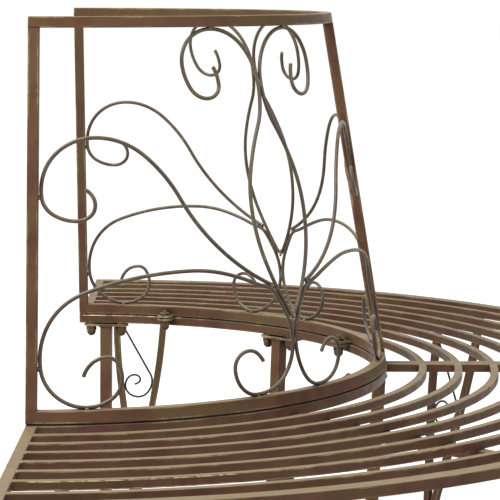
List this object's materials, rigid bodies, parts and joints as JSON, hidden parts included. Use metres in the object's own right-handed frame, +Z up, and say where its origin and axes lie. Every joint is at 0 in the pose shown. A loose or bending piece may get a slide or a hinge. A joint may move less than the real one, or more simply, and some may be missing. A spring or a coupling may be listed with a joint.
{
  "type": "tree bench",
  "caption": "Half-ring garden bench that stands round a tree, with a slatted metal seat, a leaning back of curled rods, straight inner legs and splayed outer leg pairs.",
  "frame": {"origin": "middle of the bounding box in plan, at the underside of the feet", "axes": "+X along the width from the left free end to the right one, -Y the way the sitters face, +Y towards the tree, +Z up; the ring's centre is at y = 0.39975 m"},
  "size_m": [1.6, 0.7994, 0.8744],
  "materials": {
    "brown_paint": "satin dark brown paint with a thin gold-brushed highlight, slightly mottled",
    "fixings": "satin dark brown painted dome nuts, washers and bolts",
    "glide": "matt black rubber feet"
  },
  "bodies": {
    "root": {"left_seat_inner_rail": "brown_paint", "left_seat_slat_1": "brown_paint", "left_seat_slat_2": "brown_paint", "left_seat_slat_3": "brown_paint", "left_seat_slat_4": "brown_paint", "left_seat_slat_5": "brown_paint", "left_seat_slat_6": "brown_paint", "left_seat_slat_7": "brown_paint", "left_seat_rim": "brown_paint", "left_seat_free_end_bar": "brown_paint", "left_seat_joint_end_bar": "brown_paint", "left_seat_cross_bar": "brown_paint", "left_back_bottom_rail": "brown_paint", "left_back_top_rail": "brown_paint", "left_back_free_post": "brown_paint", "left_back_joint_post": "brown_paint", "left_scroll_stem_free": "brown_paint", "left_scroll_stem_joint": "brown_paint", "left_upper_scroll_free": "brown_paint", "left_upper_scroll_joint": "brown_paint", "left_lower_scroll_free": "brown_paint", "left_lower_scroll_joint": "brown_paint", "right_seat_inner_rail": "brown_paint", "right_seat_slat_1": "brown_paint", "right_seat_slat_2": "brown_paint", "right_seat_slat_3": "brown_paint", "right_seat_slat_4": "brown_paint", "right_seat_slat_5": "brown_paint", "right_seat_slat_6": "brown_paint", "right_seat_slat_7": "brown_paint", "right_seat_rim": "brown_paint", "right_seat_free_end_bar": "brown_paint", "right_seat_joint_end_bar": "brown_paint", "right_seat_cross_bar": "brown_paint", "right_back_bottom_rail": "brown_paint", "right_back_top_rail": "brown_paint", "right_back_free_post": "brown_paint", "right_back_joint_post": "brown_paint", "right_scroll_stem_free": "brown_paint", "right_scroll_stem_joint": "brown_paint", "right_upper_scroll_free": "brown_paint", "right_upper_scroll_joint": "brown_paint", "right_lower_scroll_free": "brown_paint", "right_lower_scroll_joint": "brown_paint", "scroll_pegs": "brown_paint", "inner_leg_left_end": "brown_paint", "inner_leg_left_middle": "brown_paint", "inner_leg_joint": "brown_paint", "inner_leg_right_middle": "brown_paint", "inner_leg_right_end": "brown_paint", "outer_leg_left_end": "brown_paint", "outer_leg_left_middle": "brown_paint", "outer_leg_joint": "brown_paint", "outer_leg_right_middle": "brown_paint", "outer_leg_right_end": "brown_paint", "leg_wire_scrolls": "brown_paint", "leg_fixings": "fixings", "leg_glides": "glide", "back_fixings": "fixings", "joint_fixings": "fixings"}
  },
  "joints": []
}
